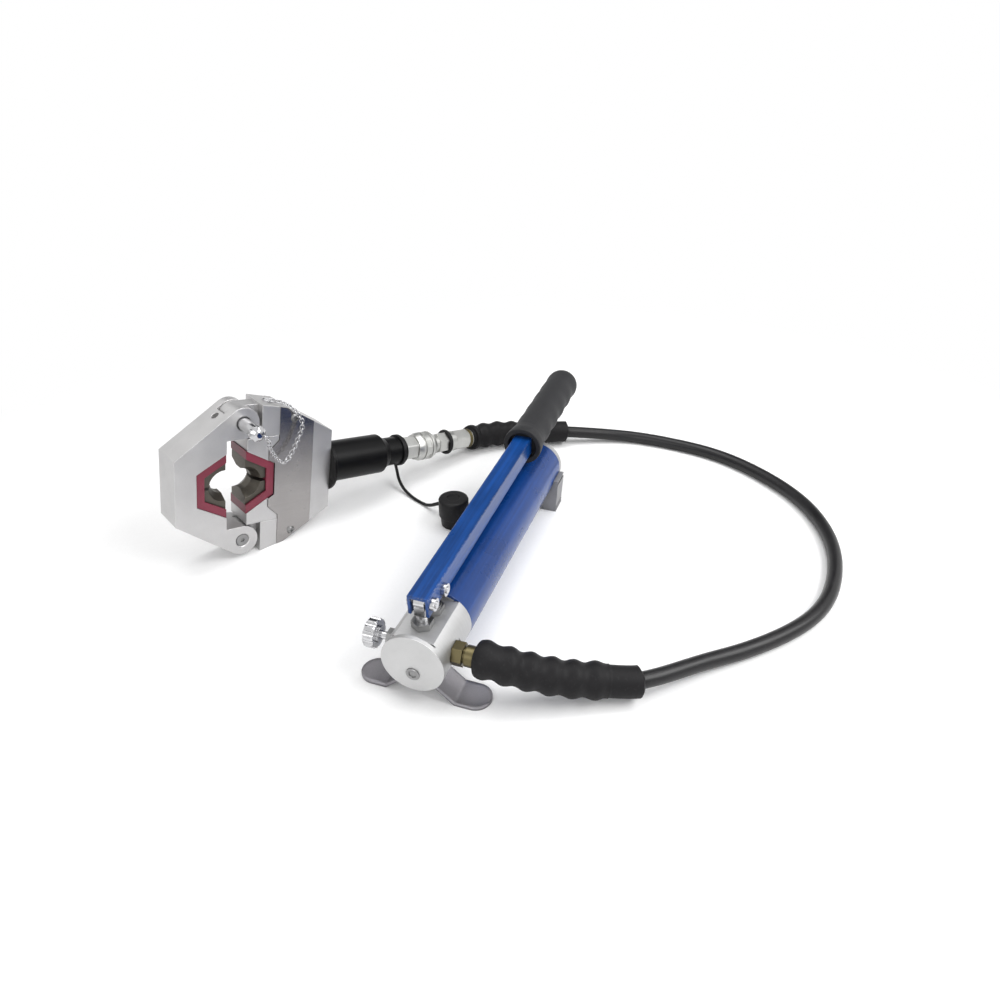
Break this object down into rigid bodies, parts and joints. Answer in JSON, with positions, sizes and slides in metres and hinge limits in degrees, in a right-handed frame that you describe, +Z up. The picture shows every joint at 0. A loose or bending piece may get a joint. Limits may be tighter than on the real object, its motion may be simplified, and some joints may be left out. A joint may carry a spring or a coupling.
{
  "type": "hydraulic crimping tool",
  "caption": "Hydraulic hose crimping tool: a hinged head with red split dies on a ram cylinder, joined by a gripped hose and quick coupler to a blue lever hand pump.",
  "frame": {"origin": "on the crimp axis of the gate's jaws, in the middle plane of the head", "axes": "+Z up from the surface it stands on, -Y along the crimp axis towards the front of the head, +X from the gate towards the cylinder"},
  "size_m": [0.611, 0.5062, 0.162],
  "materials": {
    "satin_aluminium": "satin",
    "polished_plate": "polished",
    "chrome": "polished",
    "steel": "satin",
    "jaw_steel": "blackened",
    "red_paint": "satin",
    "black_paint": "gloss",
    "blue_paint": "gloss",
    "grey_casting": "matte",
    "brass": "satin",
    "grip_rubber": "matte",
    "black_rubber": "satin"
  },
  "bodies": {
    "root": {"yoke": "satin_aluminium", "front_plate": "polished_plate", "rear_plate": "polished_plate", "plate_screws": "steel", "hinge_pin": "steel", "chain_rivet": "chrome", "lock_chain": "chrome", "cylinder_barrel": "black_paint", "barrel_nose": "black_paint", "strap_ring": "black_rubber", "coupler_nipple": "chrome", "coupler_body": "chrome", "coupler_ring": "black_rubber", "hose_nut": "chrome", "far_grip": "grip_rubber", "hose": "black_rubber", "near_grip": "grip_rubber", "port_fitting": "brass", "pump_head": "satin_aluminium", "reservoir_tube": "blue_paint", "end_cap": "satin_aluminium", "cap_seal": "black_rubber", "filler_plug": "steel", "suction_tube": "steel", "check_balls": "steel", "rear_foot": "grey_casting", "front_foot": "steel", "foot_screws": "steel", "fulcrum_post": "chrome", "fulcrum_nut": "steel", "plunger_gland": "steel", "plunger_seal": "black_rubber", "release_gland": "chrome", "dust_cap": "black_rubber", "cap_strap": "black_rubber", "return_spring": "steel"},
    "gate": {"gate": "satin_aluminium", "gate_die": "red_paint", "gate_jaws": "jaw_steel"},
    "lock": {"lock_pin": "chrome", "lock_knob": "chrome"},
    "ram": {"pusher": "satin_aluminium", "ram_die": "red_paint", "ram_jaws": "jaw_steel", "ram_piston": "steel", "piston_seal": "black_rubber"},
    "collar": {"coupler_collar": "chrome"},
    "lever": {"lever_channel": "blue_paint", "lever_grip": "grip_rubber", "fulcrum_pin": "chrome", "plunger_pin": "chrome"},
    "plunger": {"plunger": "chrome"},
    "release": {"release_knob": "chrome", "release_stem": "chrome"}
  },
  "joints": [
    {"name": "gate_swing", "type": "hinge", "parent": "root", "child": "gate", "pos_m": [0.0039, 0, -0.0661], "axis": [0, -1, 0], "range_deg": [0, 90]},
    {"name": "lock_pin_slide", "type": "slide", "parent": "gate", "child": "lock", "axis": [0, 1, 0], "range_m": [0, 0.0235]},
    {"name": "ram_press", "type": "slide", "parent": "root", "child": "ram", "axis": [-0.9799, 0, 0.1994], "range_m": [0, 0.02], "stiffness_N_per_m": 3000, "springref_m": -0.01, "deforming": ["return_spring"]},
    {"name": "collar_turn", "type": "hinge", "parent": "root", "child": "collar", "pos_m": [0.2489, 0, -0.05064], "axis": [0.9799, 0, -0.1994], "continuous": true},
    {"name": "lever_pump", "type": "hinge", "parent": "root", "child": "lever", "pos_m": [0.03503, -0.28844, 0.00295], "axis": [0.4818, -0.8763, 0], "range_deg": [0, 40]},
    {"name": "plunger_stroke", "type": "slide", "parent": "root", "child": "plunger", "axis": [0, 0, 1], "range_m": [0, 0.0148]},
    {"name": "release_turn", "type": "hinge", "parent": "root", "child": "release", "pos_m": [0.01576, -0.25339, -0.04305], "axis": [-0.4818, 0.8763, 0], "range_deg": [0, 270]}
  ],
  "couplings": [
    {"joint": "plunger_stroke", "follows": "lever_pump", "m_per_rad": 0.02115}
  ]
}
